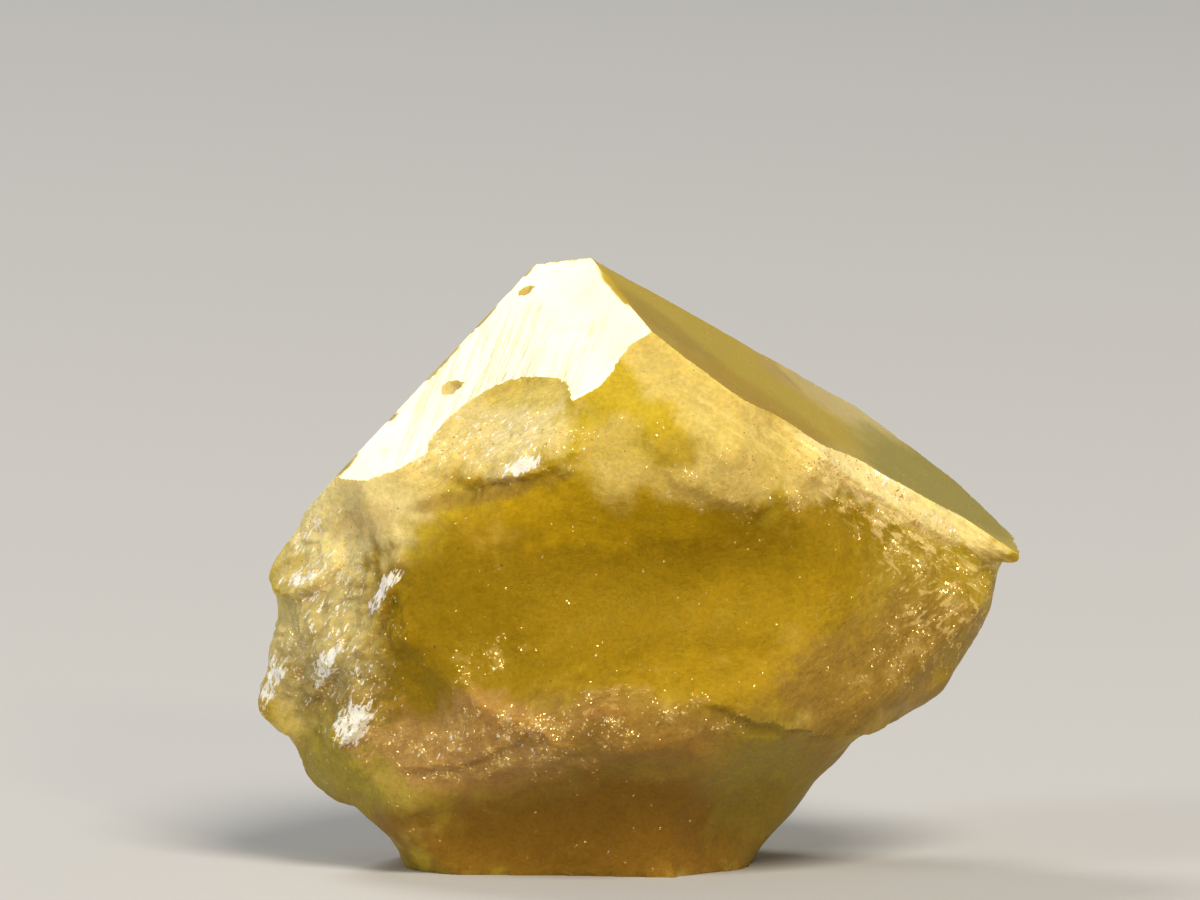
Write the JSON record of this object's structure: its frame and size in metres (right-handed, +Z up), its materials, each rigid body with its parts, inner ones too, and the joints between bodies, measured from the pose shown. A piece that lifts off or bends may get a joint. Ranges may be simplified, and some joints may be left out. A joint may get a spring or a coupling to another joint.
{
  "type": "rhodizite crystal",
  "caption": "Broken yellow rhodizite crystal: flat crystal faces meeting in a ridge at the top, scooped conchoidal fracture in front, flat broken foot to rest on.",
  "frame": {"origin": "on the flat foot's plane, under the middle of the crystal's bounding box", "axes": "+X along the crystal's longest side, to the right when the scooped front is seen; +Y to the back; +Z up, square to the flat foot"},
  "size_m": [0.0152, 0.0096, 0.0121],
  "materials": {
    "rhodizite": "translucent greenish yellow to ochre, glassy on the flat faces, satiny and finely sparkling on the fracture"
  },
  "bodies": {
    "root": {"rhodizite_crystal": "rhodizite"}
  },
  "joints": []
}
